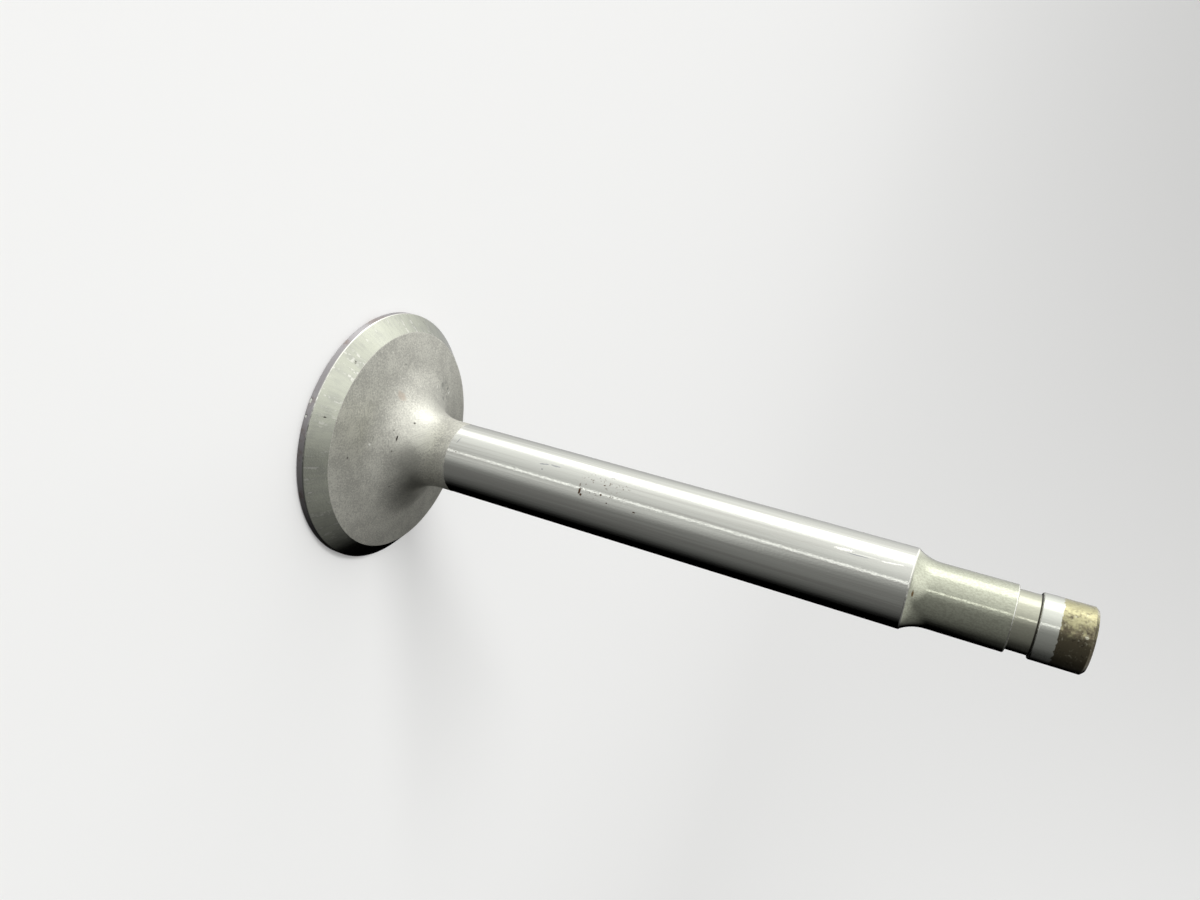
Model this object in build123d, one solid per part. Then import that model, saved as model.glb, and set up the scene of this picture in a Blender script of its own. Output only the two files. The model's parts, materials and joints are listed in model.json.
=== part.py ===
from build123d import *

import os
from math import acos, cos, degrees, radians, sin, sqrt, tan

# Exhaust poppet valve of a small piston aero engine, turned and ground from one piece of steel.
# Millimetres. The valve stands on the flat face of its head: the origin is the centre of that face,
# and +Z runs up the stem to the tip that the rocker arm pushes on.

# Head, from its flat face up.
head_radius = 20.45
face_edge_break = 0.2      # chamfer round the flat face
margin_height = 1.23       # cylindrical rim below the seat
seat_angle = 45.0          # degrees from the plane of the head
seat_width = 2.56          # measured along the radius
back_angle = 10.0          # degrees, the shallow cone behind the seat
neck_fillet = 8.5          # trumpet radius that carries the head into the stem

# Stem.
valve_length = 106.7
stem_radius = 5.51         # 7/16 in class, finish ground
grinding_step = 0.03       # stock left on the neck where the grinding wheel stops
ground_start = 15.57
ground_edge_break = 0.15   # crisp edge at the end of the ground length

# Reduced tip end, which carries the keepers. Its lengths are taken from the tip.
tip_end_length = 21.63     # from the end of the ground stem to the tip
tip_stem_radius = 4.425    # 11/32 in class
relief_radius = 5.3        # concave run-out from the ground stem to the reduced stem
land_length = 6.4          # hardened land between the groove and the tip
land_radius = 4.31
groove_width = 2.75
groove_radius = 3.92
groove_edge_break = 0.12   # small chamfers on both walls of the groove
tip_chamfer = 0.4

# Heights that follow from them.
ground_end = valve_length - tip_end_length
groove_end = valve_length - land_length
groove_start = groove_end - groove_width


def neck_arc():
    """Centre of the trumpet fillet, tangent to the cone behind the seat and to the neck of the stem."""
    seat_inner_radius = head_radius - seat_width
    seat_top = margin_height + seat_width * tan(radians(seat_angle))
    slope = radians(back_angle)
    centre_r = stem_radius + grinding_step + neck_fillet
    centre_z = seat_top + (neck_fillet - (centre_r - seat_inner_radius) * sin(slope)) / cos(slope)
    return centre_r, centre_z


def relief_arc():
    """Height of the relief arc's centre, and the angle that the arc turns.

    The arc starts on the ground stem's edge and ends tangent to the reduced stem.
    """
    edge_radius = stem_radius - ground_edge_break
    drop = relief_radius - (edge_radius - tip_stem_radius)
    rise = sqrt(relief_radius**2 - drop**2)
    return ground_end + rise, degrees(acos(drop / relief_radius))


def half_section():
    """Closed half outline of the valve, drawn as (radius, height)."""
    seat_inner = (head_radius - seat_width, margin_height + seat_width * tan(radians(seat_angle)))
    neck_r, neck_z = neck_arc()
    relief_z, relief_turn = relief_arc()
    with BuildLine() as outline:
        neck = CenterArc((neck_r, neck_z), neck_fillet, 270 - back_angle, back_angle - 90)
        relief_centre = (tip_stem_radius + relief_radius, relief_z)
        relief = CenterArc(relief_centre, relief_radius, 180 + relief_turn, -relief_turn)
        Polyline(
            (0, 0),
            (head_radius - face_edge_break, 0),
            (head_radius, face_edge_break),
            (head_radius, margin_height),
            seat_inner,
            neck @ 0,
        )
        Polyline(
            neck @ 1,
            (stem_radius + grinding_step, ground_start - grinding_step),
            (stem_radius, ground_start),
            (stem_radius, ground_end - ground_edge_break),
            relief @ 0,
        )
        Polyline(
            relief @ 1,
            (tip_stem_radius, groove_start - groove_edge_break),
            (tip_stem_radius - groove_edge_break, groove_start),
            (groove_radius, groove_start),
            (groove_radius, groove_end),
            (land_radius - groove_edge_break, groove_end),
            (land_radius, groove_end + groove_edge_break),
            (land_radius, valve_length - tip_chamfer),
            (land_radius - tip_chamfer, valve_length),
            (0, valve_length),
            (0, 0),
        )
    return outline.line


def poppet_valve():
    """The whole valve: its half section turned about the stem's axis."""
    with BuildPart() as valve:
        with BuildSketch(Plane.XZ):
            with BuildLine():
                add(half_section())
            make_face()
        revolve(axis=Axis.Z)
    return valve.part


def main():
    os.makedirs("parts", exist_ok=True)
    valve = poppet_valve()
    valve.label = "poppet_valve"
    export_step(valve, "parts/poppet_valve.step")


main()
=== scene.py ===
# %% [markdown]
# # A used exhaust valve
# The valve of a small piston aero engine is one piece of heat-resisting steel. It is forged, turned,
# blasted and then ground only where it has to fit: on the seat, on the long stem and on the land next to
# the tip. So one body of revolution shows eight finishes, one above the other, and a ninth on its worn
# edges. This lesson turns the outline round its axis with Geometry Nodes, and gives each band of it the
# finish that the shop left there.

# %% Load the frame
import json
from math import acos, cos, degrees, hypot, pi, radians, sin, sqrt, tan

import bpy
from mathutils import Matrix, Vector

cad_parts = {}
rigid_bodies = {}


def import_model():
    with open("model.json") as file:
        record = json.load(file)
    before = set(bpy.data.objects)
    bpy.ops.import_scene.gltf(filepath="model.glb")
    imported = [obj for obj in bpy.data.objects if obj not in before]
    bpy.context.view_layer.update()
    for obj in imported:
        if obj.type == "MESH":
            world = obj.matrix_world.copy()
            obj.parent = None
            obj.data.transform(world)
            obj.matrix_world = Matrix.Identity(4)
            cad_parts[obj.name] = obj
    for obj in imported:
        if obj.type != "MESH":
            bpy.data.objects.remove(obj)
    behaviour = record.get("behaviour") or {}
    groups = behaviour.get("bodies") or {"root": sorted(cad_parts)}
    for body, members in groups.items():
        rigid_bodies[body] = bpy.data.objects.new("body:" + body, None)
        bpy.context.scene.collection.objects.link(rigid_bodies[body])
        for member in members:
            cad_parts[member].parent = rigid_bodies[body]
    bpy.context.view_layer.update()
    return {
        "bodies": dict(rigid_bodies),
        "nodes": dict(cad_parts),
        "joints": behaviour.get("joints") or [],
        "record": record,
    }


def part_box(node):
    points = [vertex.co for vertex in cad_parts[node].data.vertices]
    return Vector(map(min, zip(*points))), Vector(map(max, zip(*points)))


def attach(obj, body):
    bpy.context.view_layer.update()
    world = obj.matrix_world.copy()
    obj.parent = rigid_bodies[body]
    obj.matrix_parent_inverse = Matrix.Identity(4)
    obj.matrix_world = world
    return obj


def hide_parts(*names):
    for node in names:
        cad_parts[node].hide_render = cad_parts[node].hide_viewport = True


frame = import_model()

MM = 0.001

# %% [markdown]
# ## Sizes
# A turned part is described by its radii and its heights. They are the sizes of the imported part, in
# millimetres: the flat face of the head is at height 0 and the stem goes up. The overall length and the
# head's radius are read from the frame.

# %% Sizes
high_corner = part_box("poppet_valve")[1]
HEAD_RADIUS = high_corner[0] / MM
VALVE_LENGTH = high_corner[2] / MM
FACE_EDGE_BREAK = 0.2
MARGIN_HEIGHT = 1.23
SEAT_ANGLE = 45.0
SEAT_WIDTH = 2.56
BACK_ANGLE = 10.0
NECK_FILLET = 8.5
STEM_RADIUS = 5.51
GRINDING_STEP = 0.03
GROUND_START = 15.57
GROUND_EDGE_BREAK = 0.15
TIP_END_LENGTH = 21.63
TIP_STEM_RADIUS = 4.425
RELIEF_RADIUS = 5.3
LAND_LENGTH = 6.4
LAND_RADIUS = 4.31
GROOVE_WIDTH = 2.75
GROOVE_RADIUS = 3.92
GROOVE_EDGE_BREAK = 0.12
TIP_CHAMFER = 0.4
STAIN_START = 102.67       # where the brown stain of burnt oil begins on the land
STEP_RUN = 0.25            # the wheel's run-out softens the small step at the ground length's start

GROUND_END = VALVE_LENGTH - TIP_END_LENGTH
GROOVE_END = VALVE_LENGTH - LAND_LENGTH
GROOVE_START = GROOVE_END - GROOVE_WIDTH
SEAT_TOP = MARGIN_HEIGHT + SEAT_WIDTH * tan(radians(SEAT_ANGLE))
print("ground stem from", GROUND_START, "to", round(GROUND_END, 2), "mm, groove at", round(GROOVE_START, 2))

# %% [markdown]
# ## Shader maths as formulas
# A finish is a handful of formulas on the place of a surface point. Written as nodes one by one they can't
# be read, so a small class wraps one output socket and lets Python's own operators add the Math nodes.
# Colours and vectors go through Mix and Vector Math nodes instead, which the one `node` method makes like
# any other node.

# %% A socket that does arithmetic
class Wire:
    """One output socket of a shader tree. Arithmetic on it adds Math nodes."""

    def __init__(self, socket):
        self.socket = socket

    def _math(self, operation, first, second):
        settings = {"operation": operation}
        return Shader(self.socket.id_data).node("ShaderNodeMath", settings, {0: first, 1: second})

    def __add__(self, other):
        return self._math("ADD", self, other)

    __radd__ = __add__

    def __sub__(self, other):
        return self._math("SUBTRACT", self, other)

    def __rsub__(self, other):
        return self._math("SUBTRACT", other, self)

    def __mul__(self, other):
        return self._math("MULTIPLY", self, other)

    __rmul__ = __mul__

    def __truediv__(self, other):
        return self._math("DIVIDE", self, other)

    def __pow__(self, other):
        return self._math("POWER", self, other)


class Shader:
    """A node tree that is being built."""

    def __init__(self, tree):
        self.tree = tree

    def node(self, kind, settings=None, values=None, output=0):
        """Adds a node, applies its settings, then fills or links its sockets."""
        made = self.tree.nodes.new(kind)
        for name, value in (settings or {}).items():
            if name == "stops":
                set_stops(made.color_ramp, value)
            else:
                setattr(made, name, value)
        for key, value in (values or {}).items():
            socket = find_socket(made.inputs, key)
            if isinstance(value, Wire):
                self.tree.links.new(value.socket, socket)
            else:
                socket.default_value = value
        return Wire(find_socket(made.outputs, output))

    def larger(self, first, second):
        return self.node("ShaderNodeMath", {"operation": "MAXIMUM"}, {0: first, 1: second})

    def smooth_step(self, value, start, end):
        """0 before start, 1 after end, and a soft slope between."""
        settings = {"interpolation_type": "SMOOTHSTEP"}
        values = {"Value": value, "From Min": start, "From Max": end}
        return self.node("ShaderNodeMapRange", settings, values)

    def mix(self, mask, first, second):
        """A colour that goes from first to second as the mask goes from 0 to 1."""
        values = {"Factor_Float": mask, "A_Color": first, "B_Color": second}
        return self.node("ShaderNodeMix", {"data_type": "RGBA"}, values, "Result_Color")

    def vector(self, x, y, z):
        return self.node("ShaderNodeCombineXYZ", None, {0: x, 1: y, 2: z})

    def noise(self, vector, detail=2.0):
        values = {"Vector": vector, "Scale": 1.0, "Detail": detail}
        return self.node("ShaderNodeTexNoise", None, values)


def find_socket(sockets, key):
    """A socket by its number, its identifier or its name."""
    if isinstance(key, int):
        return sockets[key]
    return next(socket for socket in sockets if key in (socket.identifier, socket.name))


def set_stops(ramp, stops):
    """Gives a colour ramp its stops, each a place from 0 to 1 and a grey level."""
    while len(ramp.elements) < len(stops):
        ramp.elements.new(0.5)
    for element, (place, level) in zip(ramp.elements, stops):
        element.position = place
        element.color = (level, level, level, 1.0)


# %% [markdown]
# ## Where a point lies on a turned part
# Turning marks run round the axis, wear runs along it, and both need the radius, the height and the
# direction of a point from the axis. They are worked out once in each material from its Object coordinates,
# in millimetres.

# %% Cylinder coordinates
RAGGED_GRAINS = 4.0        # grains in a millimetre along the ragged edge of a mark
RAGGED_DEPTH = 1.2


class TurnedPoint:
    """The place of the shaded point on the valve, in millimetres."""

    def __init__(self, shader):
        coordinates = shader.node("ShaderNodeTexCoord", output="Object")
        to_mm = {"operation": "SCALE"}
        self.place = shader.node("ShaderNodeVectorMath", to_mm, {0: coordinates, "Scale": 1 / MM})
        self.x = shader.node("ShaderNodeSeparateXYZ", None, {0: self.place}, "X")
        self.y = shader.node("ShaderNodeSeparateXYZ", None, {0: self.place}, "Y")
        self.height = shader.node("ShaderNodeSeparateXYZ", None, {0: self.place}, "Z")
        self.radius = (self.x * self.x + self.y * self.y) ** 0.5
        self.ragged = (grain(shader, self, RAGGED_GRAINS) - 0.5) * RAGGED_DEPTH


def rings(shader, point, per_mm, along=0.35):
    """Fine rings round the axis, `per_mm` of them in a millimetre, each slowly changing on its way round."""
    lane = point.radius + point.height
    return shader.noise(shader.vector(point.x * along, point.y * along, lane * per_mm))


def streaks(shader, point, per_mm, along):
    """Streaks along the stem: `per_mm` of them in a millimetre round it and `along` in one along it."""
    return shader.noise(shader.vector(point.x * per_mm, point.y * per_mm, point.height * along), 3.0)


def grain(shader, point, per_mm, detail=2.0):
    """Even noise with `per_mm` grains in a millimetre."""
    values = {0: point.place, "Scale": per_mm}
    return shader.noise(shader.node("ShaderNodeVectorMath", {"operation": "SCALE"}, values), detail)


# %% [markdown]
# ## Marks
# A used valve is known by its marks: corrosion pits, a nick in the rim, a scratch from a spring cap. Each
# one here is an oval stamped into the surface at a height and a direction, with a slightly ragged edge. The
# Mapping node turns the place of a point into the oval's own frame, where the oval is simply everything
# nearer than 1.

# %% An oval on the surface
OVAL_CORE = 0.55           # the share of its size that an oval fills completely


def oval(shader, point, place, size, lean=0.0):
    """1 on the oval, 0 off it. place is radius, height and direction; size is outward, round and along."""
    radius, height, direction = place
    turned = radians(direction)
    frame = {
        "Vector": point.place,
        "Location": (radius * cos(turned), radius * sin(turned), height),
        "Rotation": (radians(lean), 0.0, turned),
        "Scale": size,
    }
    local = shader.node("ShaderNodeMapping", {"vector_type": "TEXTURE"}, frame)
    distance = shader.node("ShaderNodeVectorMath", {"operation": "LENGTH"}, {0: local}, "Value")
    return 1 - shader.smooth_step(distance + point.ragged, OVAL_CORE, 1.0)


def together(shader, masks):
    """The largest of several masks."""
    whole = masks[0]
    for mask in masks[1:]:
        whole = shader.larger(whole, mask)
    return whole


def ovals(shader, point, table):
    """The largest of several ovals, each a place, a size, a strength and, if it leans, its lean."""
    return together(shader, [oval(shader, point, place, size, *lean) * strength
                             for place, size, strength, *lean in table])


def on_cylinder(radius, outward, table):
    """Ovals on a cylinder, from rows of height, direction, size round, size along, strength and lean."""
    return [((radius, height, direction), (outward, around, along), strength, lean)
            for height, direction, around, along, strength, lean in table]


# %% [markdown]
# ## Finishes
# All the finishes are bare steel, so each is a Principled shader with full metal. What tells them apart is
# the colour of the steel, how blurred its mirror is, and the relief that the tool left. The relief of a
# grinding wheel is far finer than a vertex, so it is bump. A finish is a function that gives colour,
# roughness and relief in micrometres, so that two of them can be blended where one runs into the other.

# %% A bare steel material
MICROMETRE = 1e-6
PIT_BLACK = (0.05, 0.04, 0.035, 1.0)
PIT_DEPTH = 25.0           # micrometres
PIT_DULLNESS = 0.3         # how much rougher a pit is than the steel round it


def steel(name, finish):
    """A metal material whose colour, roughness and relief come from finish(shader, point)."""
    material = bpy.data.materials.new(name)
    material.use_nodes = True
    shader = Shader(material.node_tree)
    principled = material.node_tree.nodes["Principled BSDF"]
    principled.inputs["Metallic"].default_value = 1.0
    colour, roughness, relief_um = finish(shader, TurnedPoint(shader))
    heights = {"Strength": 1.0, "Distance": MICROMETRE, "Height": relief_um}
    normal = shader.node("ShaderNodeBump", None, heights)
    for socket, wire in (("Base Color", colour), ("Roughness", roughness), ("Normal", normal)):
        material.node_tree.links.new(wire.socket, principled.inputs[socket])
    print("finish", name, "has", len(material.node_tree.nodes), "nodes")
    return material


def blend(shader, mask, first, second):
    """Goes from the first finish to the second as the mask goes from 0 to 1."""
    colour = shader.mix(mask, first[0], second[0])
    roughness = first[1] * (1 - mask) + second[1] * mask
    relief = first[2] * (1 - mask) + second[2] * mask
    return colour, roughness, relief


def pitted(shader, surface, pits, colour=PIT_BLACK, depth_um=PIT_DEPTH):
    """The surface with dull pits where the mask is 1."""
    dull = surface[1] + pits * PIT_DULLNESS
    return shader.mix(pits, surface[0], colour), dull, surface[2] - pits * depth_um


# %% [markdown]
# ## The ground stem
# The stem runs in its guide for thousands of hours. The grinder leaves fine rings, the guide polishes them
# away in long streaks, and the thin oil film that got too hot leaves a few dark pits.

# %% Ground stem
BRIGHT_STEEL = (0.655, 0.665, 0.61, 1.0)
WORN_STEEL = (0.56, 0.56, 0.515, 1.0)
SCRATCH_GREY = (0.34, 0.35, 0.36, 1.0)
# A near-white colour for painted glints, on scratches and specks.
PAINTED_GLINT_WHITE = (0.97, 0.97, 0.90, 1.0)
PIT_BROWN = (0.10, 0.06, 0.035, 1.0)
GROUND_ROUGHNESS = 0.07


def ground(shader, point):
    wear = streaks(shader, point, 3.5, 0.04)
    smears = streaks(shader, point, 0.6, 0.02)
    flecks = streaks(shader, point, 5.0, 3.0)
    worn = shader.smooth_step(wear * 0.5 + smears * 0.5, 0.42, 0.62)
    colour = shader.mix(worn, BRIGHT_STEEL, WORN_STEEL)
    roughness = GROUND_ROUGHNESS + smears * 0.08
    relief = wear * 2.0 + flecks * 9.0 + rings(shader, point, 9.0) * 1.5
    return colour, roughness, relief


# %% The marks on the stem
STEM_PITS = (              # height, direction, size round, size along, strength, lean
    (38.3, -122.5, 0.32, 0.15, 0.7, 0.0),
    (38.5, -113.6, 0.58, 0.23, 1.0, 0.0),
    (38.8, -108.5, 0.22, 0.25, 1.0, 0.0),
    (41.8, -116.0, 0.17, 0.20, 1.0, 0.0),
    (41.9, -131.5, 0.10, 0.20, 1.0, 0.0),
    (43.0, -106.5, 0.13, 0.14, 1.0, 0.0),
    (43.7, -117.7, 0.10, 0.10, 0.7, 0.0),
    (47.3, -104.6, 0.11, 0.26, 1.0, 0.0),
    (17.1, -117.5, 0.10, 0.12, 1.0, 0.0),
)
# Real scratches whose near-white colour is a painted glint.
SCRATCHES_WITH_PAINTED_GLINT = (
    (76.2, -138.7, 0.26, 1.5, 1.0, 4.1),
    (79.0, -137.4, 0.10, 2.4, 0.5, 2.0),
    (82.3, -138.0, 0.14, 1.9, 1.0, 5.9),
)
DULL_SCRATCHES = (
    (16.7, -137.0, 0.78, 0.09, 1.0, -12.6),
    (31.7, -138.5, 0.14, 1.0, 1.0, 12.0),
    (31.7, -129.5, 0.16, 0.16, 1.0, 0.0),
    (33.5, -140.4, 0.14, 1.0, 1.0, 0.0),
    (78.0, -135.4, 0.10, 1.6, 1.0, 1.6),
)
DRY_PATCH = (STEM_RADIUS, 42.0, -129.0), (2.0, 2.6, 5.0)
STEM_PIT_DEPTH = 12.0      # micrometres


def stem_ovals(shader, point, table):
    return ovals(shader, point, on_cylinder(STEM_RADIUS, 1.0, table))


def stem_pits(shader, point):
    """Pits with rust in them, on the side that ran dry."""
    fine = shader.smooth_step(grain(shader, point, 2.9, 1.0), 0.65, 0.72)
    fine = fine * oval(shader, point, *DRY_PATCH)
    return shader.larger(stem_ovals(shader, point, STEM_PITS), fine * 0.6)


# %% The whole stem
GROUND_EDGE_WANDER = 0.35  # how far the edge of the grinding wanders up and down
GROUND_EDGE_SOFT = 0.03    # half the height over which it fades


def stem(shader, point):
    """The ground stem, with the blasted neck below its slightly uneven edge."""
    colour, roughness, relief = ground(shader, point)
    bright = stem_ovals(shader, point, SCRATCHES_WITH_PAINTED_GLINT)
    dull = stem_ovals(shader, point, DULL_SCRATCHES)
    colour = shader.mix(dull * 0.8, colour, SCRATCH_GREY)
    # The white scratches are real scratches with a painted glint.
    colour = shader.mix(bright * 0.9, colour, PAINTED_GLINT_WHITE)
    polished = colour, roughness + (bright + dull) * 0.1, relief
    polished = pitted(shader, polished, stem_pits(shader, point), PIT_BROWN, STEM_PIT_DEPTH)
    edge = GROUND_START + (grain(shader, point, 1.2) - 0.5) * GROUND_EDGE_WANDER
    above = shader.smooth_step(point.height - edge, -GROUND_EDGE_SOFT, GROUND_EDGE_SOFT)
    return blend(shader, above, back(shader, point), polished)


# %% [markdown]
# ## The blasted back
# The back of the head and the neck are left as they were forged, then blasted clean. The neck is polished a
# little by hand with a slanting strap, because a crack would start there. Its colour is lightened there,
# partly for the polish and partly as a painted highlight, most of all in one oval patch, so it is the
# brightest part of the back.

# %% Blasted back
BLASTED_STEEL = (0.68, 0.675, 0.60, 1.0)
BLASTED_DARK = (0.49, 0.485, 0.435, 1.0)
# The neck's light colour: partly its polish, partly a painted highlight.
NECK_POLISH_AND_PAINTED_HIGHLIGHT = (0.82, 0.82, 0.72, 1.0)
# Painted glints on the blasted back and on the seat's facets take this light colour.
PAINTED_GLINT = (0.90, 0.89, 0.82, 1.0)
WARM_SPOT = (0.52, 0.44, 0.36, 1.0)
CHIP_GREY = (0.30, 0.31, 0.29, 1.0)
BLASTED_ROUGHNESS = 0.43
STRAPPING_BEGINS = (6.5, 9.5)      # heights on the neck
STRAPPING_ENDS = (9.5, 12.5)
STRAP_SLANT = 0.7
STRAP_LINES = 5.0                  # in a millimetre
# An oval patch of painted highlight on the neck.
NECK_PAINTED_HIGHLIGHT_PATCH = (5.9, 10.9, -122.0), (2.0, 3.4, 3.2)
WARM_PATCH = (9.6, 5.9, -155.0), (1.2, 0.8, 0.9)


def back(shader, point):
    fine = grain(shader, point, 4.0, 4.0)
    patches = grain(shader, point, 0.4, 3.0)
    neck = shader.smooth_step(point.height, *STRAPPING_BEGINS)
    matte = shader.smooth_step(point.height, *STRAPPING_ENDS)
    strapped = neck * (1 - matte)
    climb = point.height + (point.x - point.y) * STRAP_SLANT
    strap = shader.noise(shader.vector(point.x * 0.5, point.y * 0.5, climb * STRAP_LINES))
    darker = shader.smooth_step(patches * 0.35 + fine * 0.65, 0.38, 0.62)
    colour = shader.mix(darker, BLASTED_STEEL, BLASTED_DARK)
    # Painted highlight: the strapped neck and one oval patch are lightened, partly for the real polish.
    with_painted_highlight = oval(shader, point, *NECK_PAINTED_HIGHLIGHT_PATCH)
    bright = shader.larger(strapped * 0.4, with_painted_highlight * 0.6)
    colour = shader.mix(bright, colour, NECK_POLISH_AND_PAINTED_HIGHLIGHT)
    lines = shader.smooth_step(strap, 0.53, 0.66) * shader.larger(strapped, with_painted_highlight)
    colour = shader.mix(lines * 0.4, colour, BLASTED_DARK)
    colour = shader.mix(oval(shader, point, *WARM_PATCH) * 0.6, colour, WARM_SPOT)
    # Painted glints: small light dots over the blasted steel.
    painted_glints = shader.smooth_step(grain(shader, point, 3.8, 3.0), 0.60, 0.72)
    colour = shader.mix(painted_glints * 0.55, colour, PAINTED_GLINT)
    roughness = BLASTED_ROUGHNESS + fine * 0.08 - neck * 0.06 + matte * 0.18
    relief = fine * 18.0 + patches * 8.0 + strap * strapped * 22.0
    return back_marks(shader, point, (colour, roughness, relief))


# %% The marks on the back
LONG_PIT = (7.5, 7.6, -111.6), (0.16, 0.62, 0.16)
PINHOLES = (               # place, size, strength
    ((14.48, 4.39, -91.9), (0.22, 0.20, 0.5), 1.0),
    ((6.68, 8.85, -138.9), (0.20, 0.18, 0.2), 1.0),
    ((13.3, 4.6, -172.0), (0.14, 0.16, 0.5), 0.7),
    ((8.1, 7.03, -119.2), (0.14, 0.16, 0.2), 0.5),
    ((7.8, 7.37, -95.6), (0.14, 0.20, 0.2), 0.7),
    ((8.66, 6.53, -49.7), (0.20, 0.20, 0.2), 0.6),
    ((10.4, 5.42, -106.0), (0.09, 0.45, 0.5), 0.45),
)
ROUGH_PATCH = (11.7, 4.9, 126.0), (2.8, 2.4, 3.0)
CHIPS = (
    ((11.9, 4.87, 134.0), (0.6, 0.45, 0.6), 1.0),
    ((10.3, 5.45, 126.5), (0.35, 0.5, 0.6), 1.0),
    ((12.8, 4.70, 124.5), (0.5, 0.3, 0.6), 1.0),
)
# Specks of painted glint on the back.
PAINTED_GLINT_SPECKS = (
    ((12.8, 4.68, 120.5), (0.38, 0.30, 0.5), 1.0),
    ((10.6, 5.32, 142.7), (0.25, 0.30, 0.5), 0.6),
    ((10.76, 5.26, -100.5), (0.2, 0.2, 0.5), 1.0),
)
CHIP_DEPTH = 60.0          # micrometres


def back_marks(shader, point, surface):
    """Pinholes in the forging, one long pit beside the neck and a rough patch near the rim."""
    pinholes = ovals(shader, point, PINHOLES) * 0.8
    surface = pitted(shader, surface, shader.larger(oval(shader, point, *LONG_PIT), pinholes))
    rough = shader.smooth_step(grain(shader, point, 1.6, 3.0), 0.47, 0.58)
    rough = rough * oval(shader, point, *ROUGH_PATCH) * 0.5
    chips = shader.larger(rough, ovals(shader, point, CHIPS)) * 0.6
    colour, roughness, relief = pitted(shader, surface, chips, CHIP_GREY, CHIP_DEPTH)
    # Painted glints: near-white specks.
    glint_specks = ovals(shader, point, PAINTED_GLINT_SPECKS)
    return shader.mix(glint_specks, colour, PAINTED_GLINT_WHITE), roughness, relief


# %% [markdown]
# ## The seat and the margin
# The seat is ground at 45 degrees so that it seals, and a grinding stone that shivers a little leaves
# narrow facets that run straight across it. The margin outside it sees the fire, so it is dull, stained and
# nicked.

# %% Seat
SEAT_STEEL = (0.51, 0.525, 0.44, 1.0)
SEAT_WORN = (0.44, 0.45, 0.39, 1.0)
SEAT_ROUGHNESS = 0.12
FACETS_ROUND = 28.0        # facets in one radian round the seat
SEAT_DOTS = (              # place, size, strength, lean
    ((18.81, 2.87, -140.8), (0.25, 0.10, 0.3), 1.0, 0.0),
    ((18.76, 2.92, -140.2), (0.15, 0.22, 0.3), 0.6, 0.0),
    ((19.11, 2.57, -111.5), (0.2, 0.16, 0.3), 1.0, 0.0),
    ((19.54, 2.14, 163.0), (0.5, 0.12, 0.6), 0.5, 30.0),
)


def seat(shader, point):
    round_x = point.x / point.radius * FACETS_ROUND
    round_y = point.y / point.radius * FACETS_ROUND
    facets = shader.noise(shader.vector(round_x, round_y, point.radius * 0.25))
    polish = grain(shader, point, 0.5, 3.0)
    colour = shader.mix(shader.smooth_step(facets * 0.5 + polish * 0.5, 0.42, 0.66), SEAT_STEEL, SEAT_WORN)
    broken = grain(shader, point, 1.4)
    # Painted glints: short light dashes on some of the facets.
    painted_facet_glints = shader.smooth_step(facets, 0.54, 0.68) * shader.smooth_step(broken, 0.48, 0.60)
    colour = shader.mix(painted_facet_glints * 0.45, colour, PAINTED_GLINT)
    relief = facets * 14.0 + rings(shader, point, 7.0) * 3.0 + grain(shader, point, 4.0) * 9.0
    surface = colour, SEAT_ROUGHNESS + polish * 0.07, relief
    return pitted(shader, surface, ovals(shader, point, SEAT_DOTS) * 0.8)


# %% Margin
MARGIN_STEEL = (0.40, 0.385, 0.39, 1.0)
MARGIN_STAIN = (0.31, 0.265, 0.25, 1.0)
MARGIN_ROUGHNESS = 0.30
NICKS = (                  # height, direction, size round, size along, strength, lean
    (0.36, -116.7, 0.45, 0.3, 1.0, 0.0),
    (0.41, -110.0, 0.3, 0.25, 1.0, 0.0),
)
NICK_DEPTH = 60.0          # micrometres


def margin(shader, point):
    cloud = grain(shader, point, 0.25, 4.0)
    fine = grain(shader, point, 3.0, 3.0)
    colour = shader.mix(shader.smooth_step(cloud * 0.8 + fine * 0.2, 0.48, 0.62), MARGIN_STEEL, MARGIN_STAIN)
    relief = fine * 6.0 + rings(shader, point, 5.0) * 3.0
    nicks = ovals(shader, point, on_cylinder(HEAD_RADIUS, 0.6, NICKS))
    bright = shader.mix(nicks, colour, BRIGHT_STEEL)
    roughness = MARGIN_ROUGHNESS + fine * 0.12 - nicks * 0.1
    return bright, roughness, relief - nicks * NICK_DEPTH


# %% [markdown]
# ## The tip end
# The thinner end is only turned, so it is duller and a little yellower than the ground stem. The land above
# the keeper groove is ground again, up to a ring of brown oil stain where the rocker arm's oil burnt on.

# %% Turned steel and the groove
TURNED_STEEL = (0.55, 0.57, 0.455, 1.0)
TURNED_DARK = (0.46, 0.47, 0.375, 1.0)
GROOVE_STEEL = (0.51, 0.51, 0.41, 1.0)
# A near-black colour for painted shade in the groove's corner below the land.
GROOVE_CORNER_SHADE = (0.06, 0.055, 0.045, 1.0)
RUST = (0.16, 0.09, 0.03, 1.0)
TURNED_ROUGHNESS = 0.08
RUST_SPOT = (5.03, 85.6, -105.9), (0.6, 0.5, 0.16)
RUST_DEPTH = 6.0           # micrometres
CORNER_SHADE_RING = (-0.20, -0.12) # heights against the groove's end


def turned(shader, point):
    fine = grain(shader, point, 4.0, 3.0)
    flecks = streaks(shader, point, 4.5, 1.8)
    colour = shader.mix(shader.smooth_step(fine * 0.5 + flecks * 0.5, 0.42, 0.60), TURNED_STEEL, TURNED_DARK)
    relief = rings(shader, point, 6.0) * 3.0 + fine * 4.0 + flecks * 8.0
    surface = colour, TURNED_ROUGHNESS + fine * 0.05, relief
    return pitted(shader, surface, oval(shader, point, *RUST_SPOT) * 0.9, RUST, RUST_DEPTH)


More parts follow.
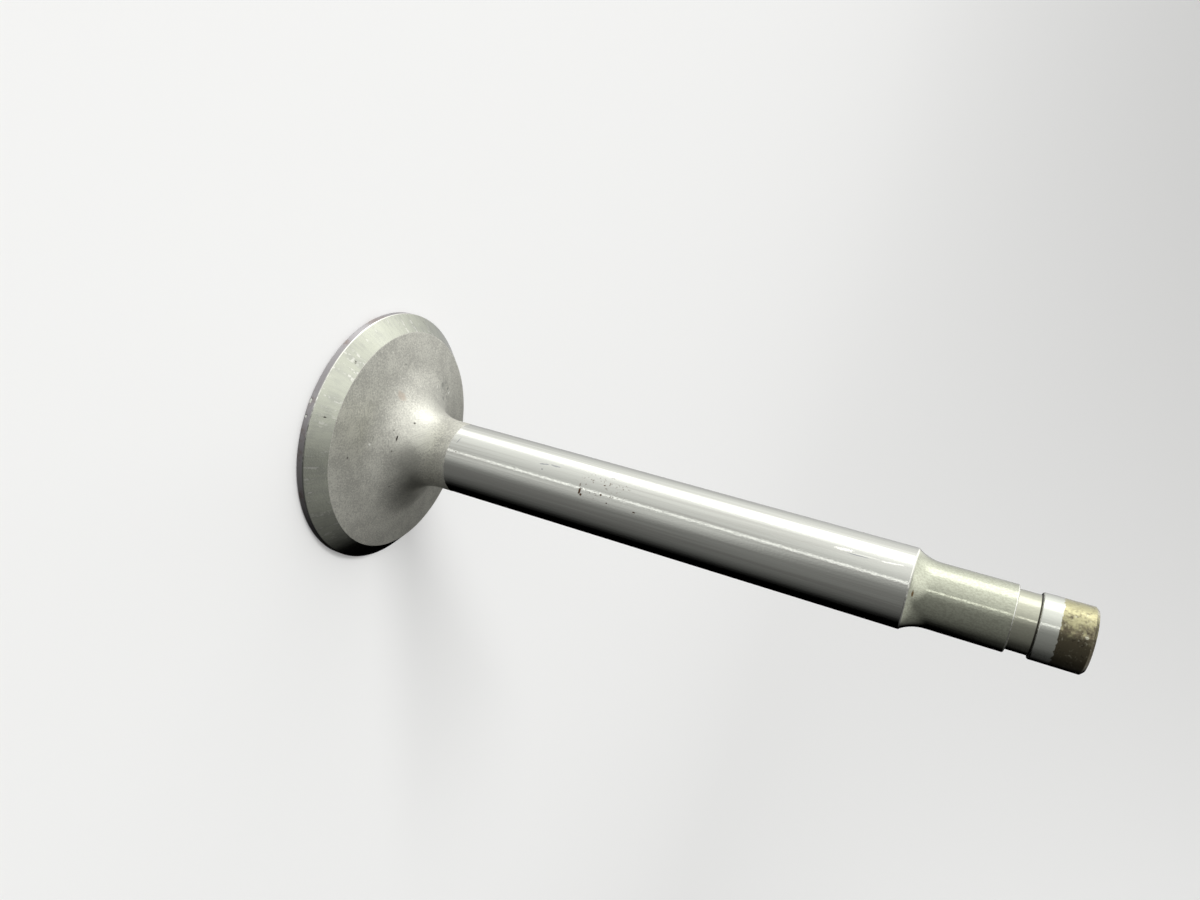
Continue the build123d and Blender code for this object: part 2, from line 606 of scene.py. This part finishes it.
def groove(shader, point):
    """The floor of the keeper groove, with painted shade in the corner below the land."""
    colour, roughness, relief = turned(shader, point)
    # Painted shade: the floor goes dark, and rougher, in the corner below the land, where shade falls.
    corner_shade = shader.smooth_step(point.height - GROOVE_END, *CORNER_SHADE_RING)
    colour = shader.mix(0.7, colour, GROOVE_STEEL)
    return shader.mix(corner_shade, colour, GROOVE_CORNER_SHADE), roughness + corner_shade * 0.35, relief


# %% Land and oil stain
LAND_STEEL = (0.655, 0.675, 0.60, 1.0)
# The stain is gold on the side towards the window and brown on the far side: partly its own colour, partly
# painted shade.
STAIN_GOLD_LIT_SIDE = (0.45, 0.425, 0.25, 1.0)
STAIN_BROWN_SHADED_SIDE = (0.15, 0.13, 0.085, 1.0)
STAIN_SPECK = (0.06, 0.05, 0.035, 1.0)
STAIN_PALE = (0.66, 0.65, 0.50, 1.0)
STAIN_ROUGHNESS = 0.11
# Over these places along X the stain darkens as painted shade.
STAIN_PAINTED_SHADE = (-4.7, -1.2)       # places along X, from the gold side to the brown one
STAIN_BURNS = (-4.2, -2.4)
STAIN_FLECKS = (           # height, direction, size round, size along, strength, lean
    (105.6, -115.4, 0.25, 0.3, 0.8, 0.0),
    (104.2, 166.0, 0.25, 0.2, 1.0, 0.0),
)
STAIN_EDGE_WANDER = 0.7    # how far the stain's edge wanders up and down
STAIN_EDGE_SOFT = 0.05     # half the height over which it fades


def stained(shader, point):
    mottle = grain(shader, point, 1.1, 5.0)
    fine = grain(shader, point, 2.8, 4.0)
    # Painted shade on a real stain: the colour goes from gold to brown towards +X, away from the window.
    painted_shade = shader.smooth_step(point.x + (mottle - 0.5) * 7.0 + (fine - 0.5) * 5.0, *STAIN_PAINTED_SHADE)
    colour = shader.mix(painted_shade, STAIN_GOLD_LIT_SIDE, STAIN_BROWN_SHADED_SIDE)
    burnt = shader.smooth_step(fine * 0.6 + mottle * 0.4, 0.54, 0.64)
    burnt = burnt * shader.smooth_step(point.x, *STAIN_BURNS)
    colour = shader.mix(burnt * 0.65, colour, STAIN_SPECK)
    pale = shader.smooth_step(grain(shader, point, 3.0, 3.0), 0.60, 0.72) * 0.4
    pale = shader.larger(pale, ovals(shader, point, on_cylinder(LAND_RADIUS, 1.0, STAIN_FLECKS)))
    colour = shader.mix(pale, colour, STAIN_PALE)
    return colour, STAIN_ROUGHNESS + mottle * 0.14, mottle * 6.0 + fine * 9.0


def land(shader, point):
    """The ground land, then the brown stain, with a ragged line between them."""
    colour, roughness, relief = ground(shader, point)
    lines = rings(shader, point, 5.0, 0.2)
    bright = shader.mix(0.7, colour, LAND_STEEL), roughness + 0.01, relief + lines * 1.5
    edge = STAIN_START + (grain(shader, point, 2.0, 3.0) - 0.5) * STAIN_EDGE_WANDER
    above = shader.smooth_step(point.height - edge, -STAIN_EDGE_SOFT, STAIN_EDGE_SOFT)
    return blend(shader, above, bright, stained(shader, point))


# %% Worn edges with painted highlight and painted shade
# Edge colours: a painted highlight and painted shade.
EDGE_PAINTED_HIGHLIGHT = (0.88, 0.88, 0.80, 1.0)
EDGE_PAINTED_SHADE = (0.24, 0.24, 0.22, 1.0)
EDGE_ROUGHNESS = 0.18


def edge_with_painted_light(shader, point):
    """A worn edge: a painted highlight on its -X side, towards the window, and painted shade elsewhere."""
    fine = grain(shader, point, 2.0, 3.0)
    # The edge is light on the -X side, towards the window, and dark towards +X: painted highlight and
    # painted shade.
    dull = shader.smooth_step(point.x / point.radius + (fine - 0.5) * 1.2, -0.75, 0.1)
    return shader.mix(dull, EDGE_PAINTED_HIGHLIGHT, EDGE_PAINTED_SHADE), EDGE_ROUGHNESS + fine * 0.1, fine * 10.0


FINISHES = {
    "face": steel("faced_steel", turned),
    "margin": steel("margin_steel", margin),
    "seat": steel("seat_steel", seat),
    "back": steel("blasted_steel", back),
    "stem": steel("ground_stem_steel", stem),
    "tip_end": steel("turned_steel", turned),
    "groove": steel("groove_steel", groove),
    "land": steel("land_steel", land),
    "edge": steel("edge_steel_with_painted_light", edge_with_painted_light),
}

# %% [markdown]
# ## The outline
# A lathe follows an outline, and so does this mesh. The outline is a short list of corners and two arcs,
# each arc tangent to what it runs into. A few rows are added along each stretch, so that the light slides
# over it evenly, and each corner gets a tiny round, because a perfectly sharp edge never catches the light
# as a real one does.

# %% Outline helpers
EDGE_ROUND = 0.05
PAINTED_HIGHLIGHT_CORNER_ROUND = 0.09
CORNER_TURN = 12.0         # degrees: a smaller turn belongs to an arc and stays
SUPPORT = 2.5              # a supporting row stands this many rounds from its corner
# That corner's brightness is a painted highlight from the edge finish.
PAINTED_HIGHLIGHT_CORNER = "seat"            # the corner where this finish begins is worn round and bright


def stretch(start, end, spacing=1.0):
    """Points from start up to, not including, end, about `spacing` millimetres apart."""
    steps = max(1, round(hypot(end[0] - start[0], end[1] - start[1]) / spacing))
    return [(start[0] + (end[0] - start[0]) * i / steps, start[1] + (end[1] - start[1]) * i / steps)
            for i in range(steps)]


def arc(centre, radius, start, end, steps):
    """Points on an arc from one angle to another, in degrees, not including the last."""
    angles = [radians(start + (end - start) * i / steps) for i in range(steps)]
    return [(centre[0] + radius * cos(a), centre[1] + radius * sin(a)) for a in angles]


def soften(rows):
    """Replaces each sharp corner by a tiny round with a supporting row on either side."""
    soft = [rows[0]]
    for before, corner, after in zip(rows, rows[1:], rows[2:]):
        point, zone = Vector(corner[0]), corner[1]
        incoming = (point - Vector(before[0])).normalized()
        outgoing = (Vector(after[0]) - point).normalized()
        if degrees(incoming.angle(outgoing)) < CORNER_TURN:
            soft.append(corner)
            continue
        with_painted_highlight = zone == PAINTED_HIGHLIGHT_CORNER and before[1] != zone
        size = PAINTED_HIGHLIGHT_CORNER_ROUND if with_painted_highlight else EDGE_ROUND
        round_zone = "edge" if with_painted_highlight else zone
        first, last = point - incoming * size, point + outgoing * size
        middle = (first + point * 2 + last) / 4
        soft += [(point - incoming * size * SUPPORT, before[1]), (first, round_zone),
                 (middle, round_zone), (last, zone), (point + outgoing * size * SUPPORT, zone)]
    soft.append(rows[-1])
    return [(tuple(point), zone) for point, zone in soft]


# %% The outline of the valve
NECK_STEPS = 56
RELIEF_STEPS = 16
FACE_ROWS = 1.6            # spacing of the rows, in millimetres
MARGIN_ROWS = 0.26
SEAT_ROWS = 0.3
BACK_ROWS = 0.4
STEM_ROWS = 0.95
TIP_END_ROWS = 0.7
GROOVE_ROWS = 0.5
LAND_ROWS = 0.5


def outline():
    """Rows of ((radius, height), finish) from the middle of the face to the middle of the tip."""
    slope = radians(BACK_ANGLE)
    neck_radius = STEM_RADIUS + GRINDING_STEP
    seat_inner = (HEAD_RADIUS - SEAT_WIDTH, SEAT_TOP)
    neck_r = neck_radius + NECK_FILLET
    neck_z = SEAT_TOP + (NECK_FILLET - (neck_r - seat_inner[0]) * sin(slope)) / cos(slope)
    cone_end = (neck_r - NECK_FILLET * sin(slope), neck_z - NECK_FILLET * cos(slope))
    drop = RELIEF_RADIUS - (STEM_RADIUS - GROUND_EDGE_BREAK - TIP_STEM_RADIUS)
    relief_turn = degrees(acos(drop / RELIEF_RADIUS))
    relief_centre = (TIP_STEM_RADIUS + RELIEF_RADIUS, GROUND_END + sqrt(RELIEF_RADIUS**2 - drop**2))

    runs = []
    def run(zone, points):
        runs.extend((point, zone) for point in points)

    face_edge = (HEAD_RADIUS - FACE_EDGE_BREAK, 0.0)
    margin_foot = (HEAD_RADIUS, FACE_EDGE_BREAK)
    margin_top = (HEAD_RADIUS, MARGIN_HEIGHT)
    run("face", stretch((0.0, 0.0), face_edge, FACE_ROWS))
    run("margin", stretch(face_edge, margin_foot))
    run("margin", stretch(margin_foot, margin_top, MARGIN_ROWS))
    run("seat", stretch(margin_top, seat_inner, SEAT_ROWS))

    step_start = (neck_radius, GROUND_START - STEP_RUN)
    step_end = (STEM_RADIUS, GROUND_START)
    run("back", stretch(seat_inner, cone_end, BACK_ROWS))
    run("back", arc((neck_r, neck_z), NECK_FILLET, 270 - BACK_ANGLE, 180, NECK_STEPS))
    run("stem", stretch((neck_radius, neck_z), step_start, BACK_ROWS))
    run("stem", stretch(step_start, step_end))

    stem_end = (STEM_RADIUS, GROUND_END - GROUND_EDGE_BREAK)
    run("stem", stretch(step_end, stem_end, STEM_ROWS))
    run("edge", stretch(stem_end, (STEM_RADIUS - GROUND_EDGE_BREAK, GROUND_END)))

    collar = (TIP_STEM_RADIUS, GROOVE_START - GROOVE_EDGE_BREAK)
    collar_top = (TIP_STEM_RADIUS - GROOVE_EDGE_BREAK, GROOVE_START)
    run("tip_end", arc(relief_centre, RELIEF_RADIUS, 180 + relief_turn, 180, RELIEF_STEPS))
    run("tip_end", stretch((TIP_STEM_RADIUS, relief_centre[1]), collar, TIP_END_ROWS))
    run("edge", stretch(collar, collar_top))

    groove_foot = (GROOVE_RADIUS, GROOVE_START)
    groove_top = (GROOVE_RADIUS, GROOVE_END)
    land_edge = (LAND_RADIUS - GROOVE_EDGE_BREAK, GROOVE_END)
    land_foot = (LAND_RADIUS, GROOVE_END + GROOVE_EDGE_BREAK)
    run("groove", stretch(collar_top, groove_foot))
    run("groove", stretch(groove_foot, groove_top, GROOVE_ROWS))
    run("groove", stretch(groove_top, land_edge))
    run("edge", stretch(land_edge, land_foot))

    tip_edge = (LAND_RADIUS, VALVE_LENGTH - TIP_CHAMFER)
    tip_face = (LAND_RADIUS - TIP_CHAMFER, VALVE_LENGTH)
    middle = (0.0, VALVE_LENGTH)
    run("land", stretch(land_foot, tip_edge, LAND_ROWS))
    run("land", stretch(tip_edge, tip_face))
    run("land", stretch(tip_face, middle))
    run("land", [middle])
    return soften(runs)


rows = outline()
print("outline has", len(rows), "rows")

# %% [markdown]
# ## Turning the outline with Geometry Nodes
# The rule of the whole piece is one sentence: row by row, the outline goes round the axis. So the tree
# takes a flat grid with a column for each step round and a row for each point of the outline, and moves
# every vertex to its row's radius and height at its column's angle. The seam and the two poles are then
# merged.

# %% The lathe tree
SEGMENTS = 300
SEAM_DISTANCE = 1e-7       # metres: vertices nearer than this become one


def outline_object(rows):
    """The outline as loose vertices in the XZ plane, with each row's finish as a number."""
    mesh = bpy.data.meshes.new("valve_outline")
    mesh.from_pydata([(r * MM, 0.0, z * MM) for (r, z), zone in rows], [], [])
    zones = mesh.attributes.new("zone", "INT", "POINT")
    names = list(FINISHES)
    zones.data.foreach_set("value", [names.index(zone) for point, zone in rows])
    made = bpy.data.objects.new("valve_outline", mesh)
    bpy.context.scene.collection.objects.link(made)
    return made


def lathe_tree(finishes):
    """Turns the vertices of an outline object round the Z axis."""
    tree = bpy.data.node_groups.new("turn_outline", "GeometryNodeTree")
    tree.interface.new_socket("Geometry", in_out="INPUT", socket_type="NodeSocketGeometry")
    tree.interface.new_socket("Outline", in_out="INPUT", socket_type="NodeSocketObject")
    tree.interface.new_socket("Segments", in_out="INPUT", socket_type="NodeSocketInt")
    tree.interface.new_socket("Geometry", in_out="OUTPUT", socket_type="NodeSocketGeometry")
    build = Shader(tree)
    given = tree.nodes.new("NodeGroupInput")
    outline_in, segments = Wire(given.outputs["Outline"]), Wire(given.outputs["Segments"])

    def whole(operation, first, second):
        return build.node("FunctionNodeIntegerMath", {"operation": operation}, {0: first, 1: second})

    points = build.node("GeometryNodeObjectInfo", None, {"Object": outline_in}, "Geometry")
    counted = {"component": "MESH"}
    row_count = build.node("GeometryNodeAttributeDomainSize", counted, {0: points}, "Point Count")
    columns = whole("ADD", segments, 1)
    grid = build.node("GeometryNodeMeshGrid", None, {"Vertices X": columns, "Vertices Y": row_count})
    index = build.node("GeometryNodeInputIndex")

    place = build.node("GeometryNodeInputPosition")
    row = whole("MODULO", index, row_count)
    column = whole("DIVIDE_FLOOR", index, row_count)
    sampled = {"Geometry": points, "Value": place, "Index": row}
    on_outline = build.node("GeometryNodeSampleIndex", {"data_type": "FLOAT_VECTOR"}, sampled)
    radius = build.node("ShaderNodeSeparateXYZ", None, {0: on_outline}, "X")
    height = build.node("ShaderNodeSeparateXYZ", None, {0: on_outline}, "Z")
    angle = column * (2 * pi) / segments
    cosine = build.node("ShaderNodeMath", {"operation": "COSINE"}, {0: angle})
    sine = build.node("ShaderNodeMath", {"operation": "SINE"}, {0: angle})
    turned_place = build.vector(radius * cosine, radius * sine, height)

    zone = build.node("GeometryNodeInputNamedAttribute", {"data_type": "INT"}, {"Name": "zone"})
    face_row = whole("MODULO", index, whole("SUBTRACT", row_count, 1))
    sampled = {"Geometry": points, "Value": zone, "Index": face_row}
    row_zone = build.node("GeometryNodeSampleIndex", {"data_type": "INT"}, sampled)
    stored = {"data_type": "INT", "domain": "FACE"}
    marked = {"Geometry": grid, "Name": "zone", "Value": row_zone}
    mesh = build.node("GeometryNodeStoreNamedAttribute", stored, marked)
    mesh = build.node("GeometryNodeSetPosition", None, {"Geometry": mesh, "Position": turned_place})
    mesh = build.node("GeometryNodeMergeByDistance", None, {"Geometry": mesh, "Distance": SEAM_DISTANCE})
    mesh = build.node("GeometryNodeRealizeInstances", None, {"Geometry": mesh})
    same = {"data_type": "INT", "operation": "EQUAL"}
    for number, material in enumerate(finishes):
        chosen = build.node("FunctionNodeCompare", same, {"A_INT": zone, "B_INT": number})
        values = {"Geometry": mesh, "Selection": chosen, "Material": material}
        mesh = build.node("GeometryNodeSetMaterial", None, values)
    result = tree.nodes.new("NodeGroupOutput")
    tree.links.new(mesh.socket, result.inputs["Geometry"])
    return tree


def turn(name, rows, segments):
    """The turned mesh, as a plain object with no modifier."""
    source = outline_object(rows)
    blank = bpy.data.objects.new("blank", bpy.data.meshes.new("blank"))
    bpy.context.scene.collection.objects.link(blank)
    tree = lathe_tree(FINISHES.values())
    lathe = blank.modifiers.new("turn", "NODES")
    lathe.node_group = tree
    sockets = {item.name: item.identifier for item in tree.interface.items_tree if item.in_out == "INPUT"}
    lathe[sockets["Outline"]] = source
    lathe[sockets["Segments"]] = segments
    ready = blank.evaluated_get(bpy.context.evaluated_depsgraph_get())
    mesh = bpy.data.meshes.new_from_object(ready)
    mesh.name = name
    mesh.materials.pop(index=0)           # the grid brings an empty slot with it
    bpy.data.objects.remove(blank)
    bpy.data.objects.remove(source)
    made = bpy.data.objects.new(name, mesh)
    bpy.context.scene.collection.objects.link(made)
    return made


valve = turn("valve", rows, SEGMENTS)
valve.data.shade_smooth()
print("the turned valve has", len(valve.data.polygons), "faces and", len(valve.data.materials), "finishes")

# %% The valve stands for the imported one
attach(valve, "root")
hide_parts("poppet_valve")

# %% [markdown]
# ## Floor and backdrop
# The valve stands on a plain pale floor that curves up into a wall all round, so no horizon shows from any
# side.

# %% A pale bowl
FLOOR_COLOUR = (0.80, 0.80, 0.79, 1.0)
FLOOR_ROUGHNESS = 0.9
FLOOR_GLOW = 0.10
FLOOR_RADIUS = 0.5         # metres, as all of the bowl
FLOOR_BEND = 1.6
WALL_HEIGHT = 2.2
FLOOR_DROP = 1e-5          # just below the head's face, so the two don't flicker
FLOOR_RINGS = 12
BEND_STEPS = 24
BOWL_SEGMENTS = 96


def bowl():
    """A floor that curves up into a round wall."""
    wall_radius = FLOOR_RADIUS + FLOOR_BEND
    rings_out = [(FLOOR_RADIUS * i / FLOOR_RINGS, 0.0) for i in range(FLOOR_RINGS)]
    rings_out += arc((FLOOR_RADIUS, FLOOR_BEND), FLOOR_BEND, -90, 0, BEND_STEPS)
    rings_out += [(wall_radius, FLOOR_BEND), (wall_radius, WALL_HEIGHT)]
    turns = [2 * pi * i / BOWL_SEGMENTS for i in range(BOWL_SEGMENTS)]
    vertices = [(r * cos(turn), r * sin(turn), z - FLOOR_DROP) for r, z in rings_out for turn in turns]
    faces = []
    for j in range(len(rings_out) - 1):
        below, above = j * BOWL_SEGMENTS, (j + 1) * BOWL_SEGMENTS
        for i in range(BOWL_SEGMENTS):
            after = (i + 1) % BOWL_SEGMENTS
            faces.append((below + i, below + after, above + after, above + i))
    mesh = bpy.data.meshes.new("floor")
    mesh.from_pydata(vertices, [], faces)
    mesh.flip_normals()
    mesh.shade_smooth()
    made = bpy.data.objects.new("floor", mesh)
    bpy.context.scene.collection.objects.link(made)
    return made


floor = bowl()
paint = bpy.data.materials.new("pale_paint")
paint.use_nodes = True
coat = paint.node_tree.nodes["Principled BSDF"].inputs
coat["Base Color"].default_value = FLOOR_COLOUR
coat["Roughness"].default_value = FLOOR_ROUGHNESS
coat["Specular IOR Level"].default_value = 0.0
coat["Emission Color"].default_value = FLOOR_COLOUR
coat["Emission Strength"].default_value = FLOOR_GLOW
floor.data.materials.append(paint)
floor.visible_shadow = False
floor.visible_diffuse = False
floor.visible_glossy = False
print("the bowl is", 2 * (FLOOR_RADIUS + FLOOR_BEND), "m across")

# %% [markdown]
# ## Light
# Polished metal shows nothing but the room round it. A cylinder looks round when that room goes from bright
# to dark across it, so this studio has pale walls that grow dimmer away from a tall window on the -X side,
# two thin strip lamps and a pale bench beside the camera, two soft lamps above, a pale ceiling, and a dark
# end opposite the window. Directions are in degrees round the valve, from -X towards -Y, and z is the sine
# of an elevation.

# %% The studio
BRIGHTEST = 2.0
WALLS = (                  # direction, level
    (-130, 0.52), (-88, 0.62), (-74, 0.78), (-57, 1.04), (-42, 1.34),   # far wall, up to the window
    (-20, 1.36), (0, 1.36), (25, 1.07), (45, 0.80), (62, 0.62),         # near wall
    (68, 0.41), (84, 0.28), (137, 0.15), (172, 0.01),                   # and on to the dark end
)
FAR_WALL_ENDS = -100.5
FAR_WALL_SOFT = 4.0        # half the width of its blurred end
FAR_WALL_LEAN = -10.0
NEAR_WALL_ENDS = (40, 62)
WALL_FOOT = 0.86           # the walls by the floor, as a share of their level
WALL_BRIGHTER = (-0.5, 0.4), 0.28      # from z to z, and by how much
WALL_DIMMER = (0.3, 0.8), 0.16
WINDOW_LEVEL = 0.8
WINDOW_EDGES = (-32.0, -1.0)
WINDOW_SOFT = 7.0          # half the width of its blurred edges
WINDOW_BOW = 38.0
WINDOW_TOP = (0.15, 0.65)  # from z to z, where it fades out
STRIP_LAMPS = (            # direction, half width of its core and of its edge in degrees, level
    (56.0, 1.0, 3.2, 1.05),
    (69.0, 0.5, 2.6, 0.12),
)
STRIP_TOP = (0.2, 0.5)
BENCH_BEGINS = (60, 68)    # directions: a pale bench low down beside the strip lamps
BENCH_ENDS = (74, 98)
BENCH_TOP = (-0.28, -0.08)
BENCH_LEVEL = 0.28
SOFT_LAMPS = (             # towards the lamp, half angle of its edge and of its core in degrees, level
    ((-0.36, -0.50, 0.79), 40, 8, 0.44),
    ((0.028, 0.82, 0.57), 30, 8, 0.58),
)
DARK_END_GLOW = (0.98, 1.42), 0.18     # from z + x to z + x: the dark end is lighter high up
CEILING_LEVEL = 0.55
CEILING_DIMMING = 0.15
CEILING_LEANS = (4, 13)    # its edge comes down by one part in so many towards +X and +Y
CEILING_EDGE = (0.65, 0.91)


def slope(shader, value, rise):
    """From 0 up to an amount. rise is the two values between which it climbs, and the amount."""
    span, amount = rise
    return shader.smooth_step(value, *span) * amount


def soft_edge(shader, value, middle, half_width):
    """0 before the edge and 1 after it, blurred over half a width on either side of its middle."""
    return shader.smooth_step(value, middle - half_width, middle + half_width)


def studio():
    """A world that is bright on the -X side and dark on the +X side."""
    world = bpy.data.worlds.new("studio")
    world.use_nodes = True
    bpy.context.scene.world = world
    shader = Shader(world.node_tree)
    view = shader.node("ShaderNodeTexCoord", output="Generated")
    x = shader.node("ShaderNodeSeparateXYZ", None, {0: view}, "X")
    y = shader.node("ShaderNodeSeparateXYZ", None, {0: view}, "Y")
    z = shader.node("ShaderNodeSeparateXYZ", None, {0: view}, "Z")
    radians_round = shader.node("ShaderNodeMath", {"operation": "ARCTAN2"}, {0: 0 - y, 1: 0 - x})
    direction = radians_round * degrees(1)

    stops = [((angle + 180) / 360, level / BRIGHTEST) for angle, level in WALLS]
    ramp = shader.node("ShaderNodeValToRGB", {"stops": stops}, {"Fac": direction / 360 + 0.5})
    walls = shader.node("ShaderNodeRGBToBW", None, {0: ramp}) * BRIGHTEST
    upper = (WALL_FOOT + slope(shader, z, WALL_BRIGHTER)) * (1 - slope(shader, z, WALL_DIMMER))
    bright_side = 1 - shader.smooth_step(direction, *NEAR_WALL_ENDS)
    walls = walls * (1 + (upper - 1) * bright_side)
    walls = walls * soft_edge(shader, direction + z * FAR_WALL_LEAN, FAR_WALL_ENDS, FAR_WALL_SOFT)
    bench = shader.smooth_step(direction, *BENCH_BEGINS) * (1 - shader.smooth_step(direction, *BENCH_ENDS))
    walls = walls + bench * (1 - shader.smooth_step(z, *BENCH_TOP)) * BENCH_LEVEL
    walls = walls + slope(shader, z + x, DARK_END_GLOW)
    opened = soft_edge(shader, direction, WINDOW_EDGES[0], WINDOW_SOFT)
    closed = soft_edge(shader, direction + z * z * WINDOW_BOW, WINDOW_EDGES[1], WINDOW_SOFT)
    window = opened * (1 - closed) * (1 - shader.smooth_step(z, *WINDOW_TOP)) * WINDOW_LEVEL
    lit = walls + window
    low = 1 - shader.smooth_step(z, *STRIP_TOP)
    for place, core, edge, level in STRIP_LAMPS:
        off_strip = shader.node("ShaderNodeMath", {"operation": "ABSOLUTE"}, {0: direction - place})
        lit = lit + (1 - shader.smooth_step(off_strip, core, edge)) * low * level
    for lamp, edge, core, level in SOFT_LAMPS:
        dot = {"operation": "DOT_PRODUCT"}
        towards = shader.node("ShaderNodeVectorMath", dot, {0: view, 1: lamp}, "Value")
        lit = lit + shader.smooth_step(towards, cos(radians(edge)), cos(radians(core))) * level

    ceiling = CEILING_LEVEL * (1 - x * CEILING_DIMMING - y * CEILING_DIMMING)
    lowered = z + x / CEILING_LEANS[0] + y / CEILING_LEANS[1]
    upward = shader.smooth_step(lowered, *CEILING_EDGE)
    strength = lit * (1 - upward) + ceiling * upward
    background = world.node_tree.nodes["Background"]
    background.inputs["Color"].default_value = (1.0, 1.0, 1.0, 1.0)
    world.node_tree.links.new(strength.socket, background.inputs["Strength"])
    print("studio has", len(world.node_tree.nodes), "nodes")


studio()

# %% [markdown]
# The world alone gives hardly any shadow, and an object without one seems to float. One broad lamp stands
# where the window is and throws a soft shadow on the floor. The steel already mirrors the window, so the
# lamp is kept out of its reflections.

# %% The shadow lamp
LAMP_PLACE = Vector((-0.75, -0.33, 0.95))
LAMP_WIDTH = 0.42
LAMP_POWER = 6.0

lamp_data = bpy.data.lights.new("shadow_lamp", "AREA")
lamp_data.shape = "DISK"
lamp_data.size = LAMP_WIDTH
lamp_data.energy = LAMP_POWER
lamp = bpy.data.objects.new("shadow_lamp", lamp_data)
lamp.location = LAMP_PLACE
lamp.rotation_euler = (-LAMP_PLACE).to_track_quat("-Z", "Y").to_euler()
lamp.visible_glossy = False
bpy.context.scene.collection.objects.link(lamp)
print("shadow lamp of", LAMP_POWER, "W,", round(LAMP_PLACE.length, 2), "m from the valve")

# %% [markdown]
# ## Camera
# The camera looks down on the head from beside the stem, and is turned on its side, so the stem points to
# the right.

# %% The camera
CAMERA_PLACE = Vector((-46.77, -118.69, 87.95)) * MM
CAMERA_AIM = Vector((-7.30, 0.0, 38.66)) * MM
CAMERA_ROLL = 105.17
LENS = 27.35
SENSOR = 36.0
NEAREST_SEEN = 0.005


def look(place, aim, roll):
    """A camera's matrix from where it stands, what it looks at and how far it is turned."""
    ahead = (aim - place).normalized()
    level = ahead.cross(Vector((0, 0, 1))).normalized()
    upright = level.cross(ahead)
    right = level * cos(radians(roll)) + upright * sin(radians(roll))
    up = upright * cos(radians(roll)) - level * sin(radians(roll))
    turned = Matrix((right, up, -ahead)).transposed().to_4x4()
    return Matrix.Translation(place) @ turned


camera_data = bpy.data.cameras.new("camera")
camera_data.lens = LENS
camera_data.sensor_width = SENSOR
camera_data.clip_start = NEAREST_SEEN
camera = bpy.data.objects.new("camera", camera_data)
camera.matrix_world = look(CAMERA_PLACE, CAMERA_AIM, CAMERA_ROLL)
bpy.context.scene.collection.objects.link(camera)
bpy.context.scene.camera = camera
print("camera", round((CAMERA_AIM - CAMERA_PLACE).length / MM), "mm from what it looks at")
bpy.context.scene.view_settings.view_transform = "Standard"
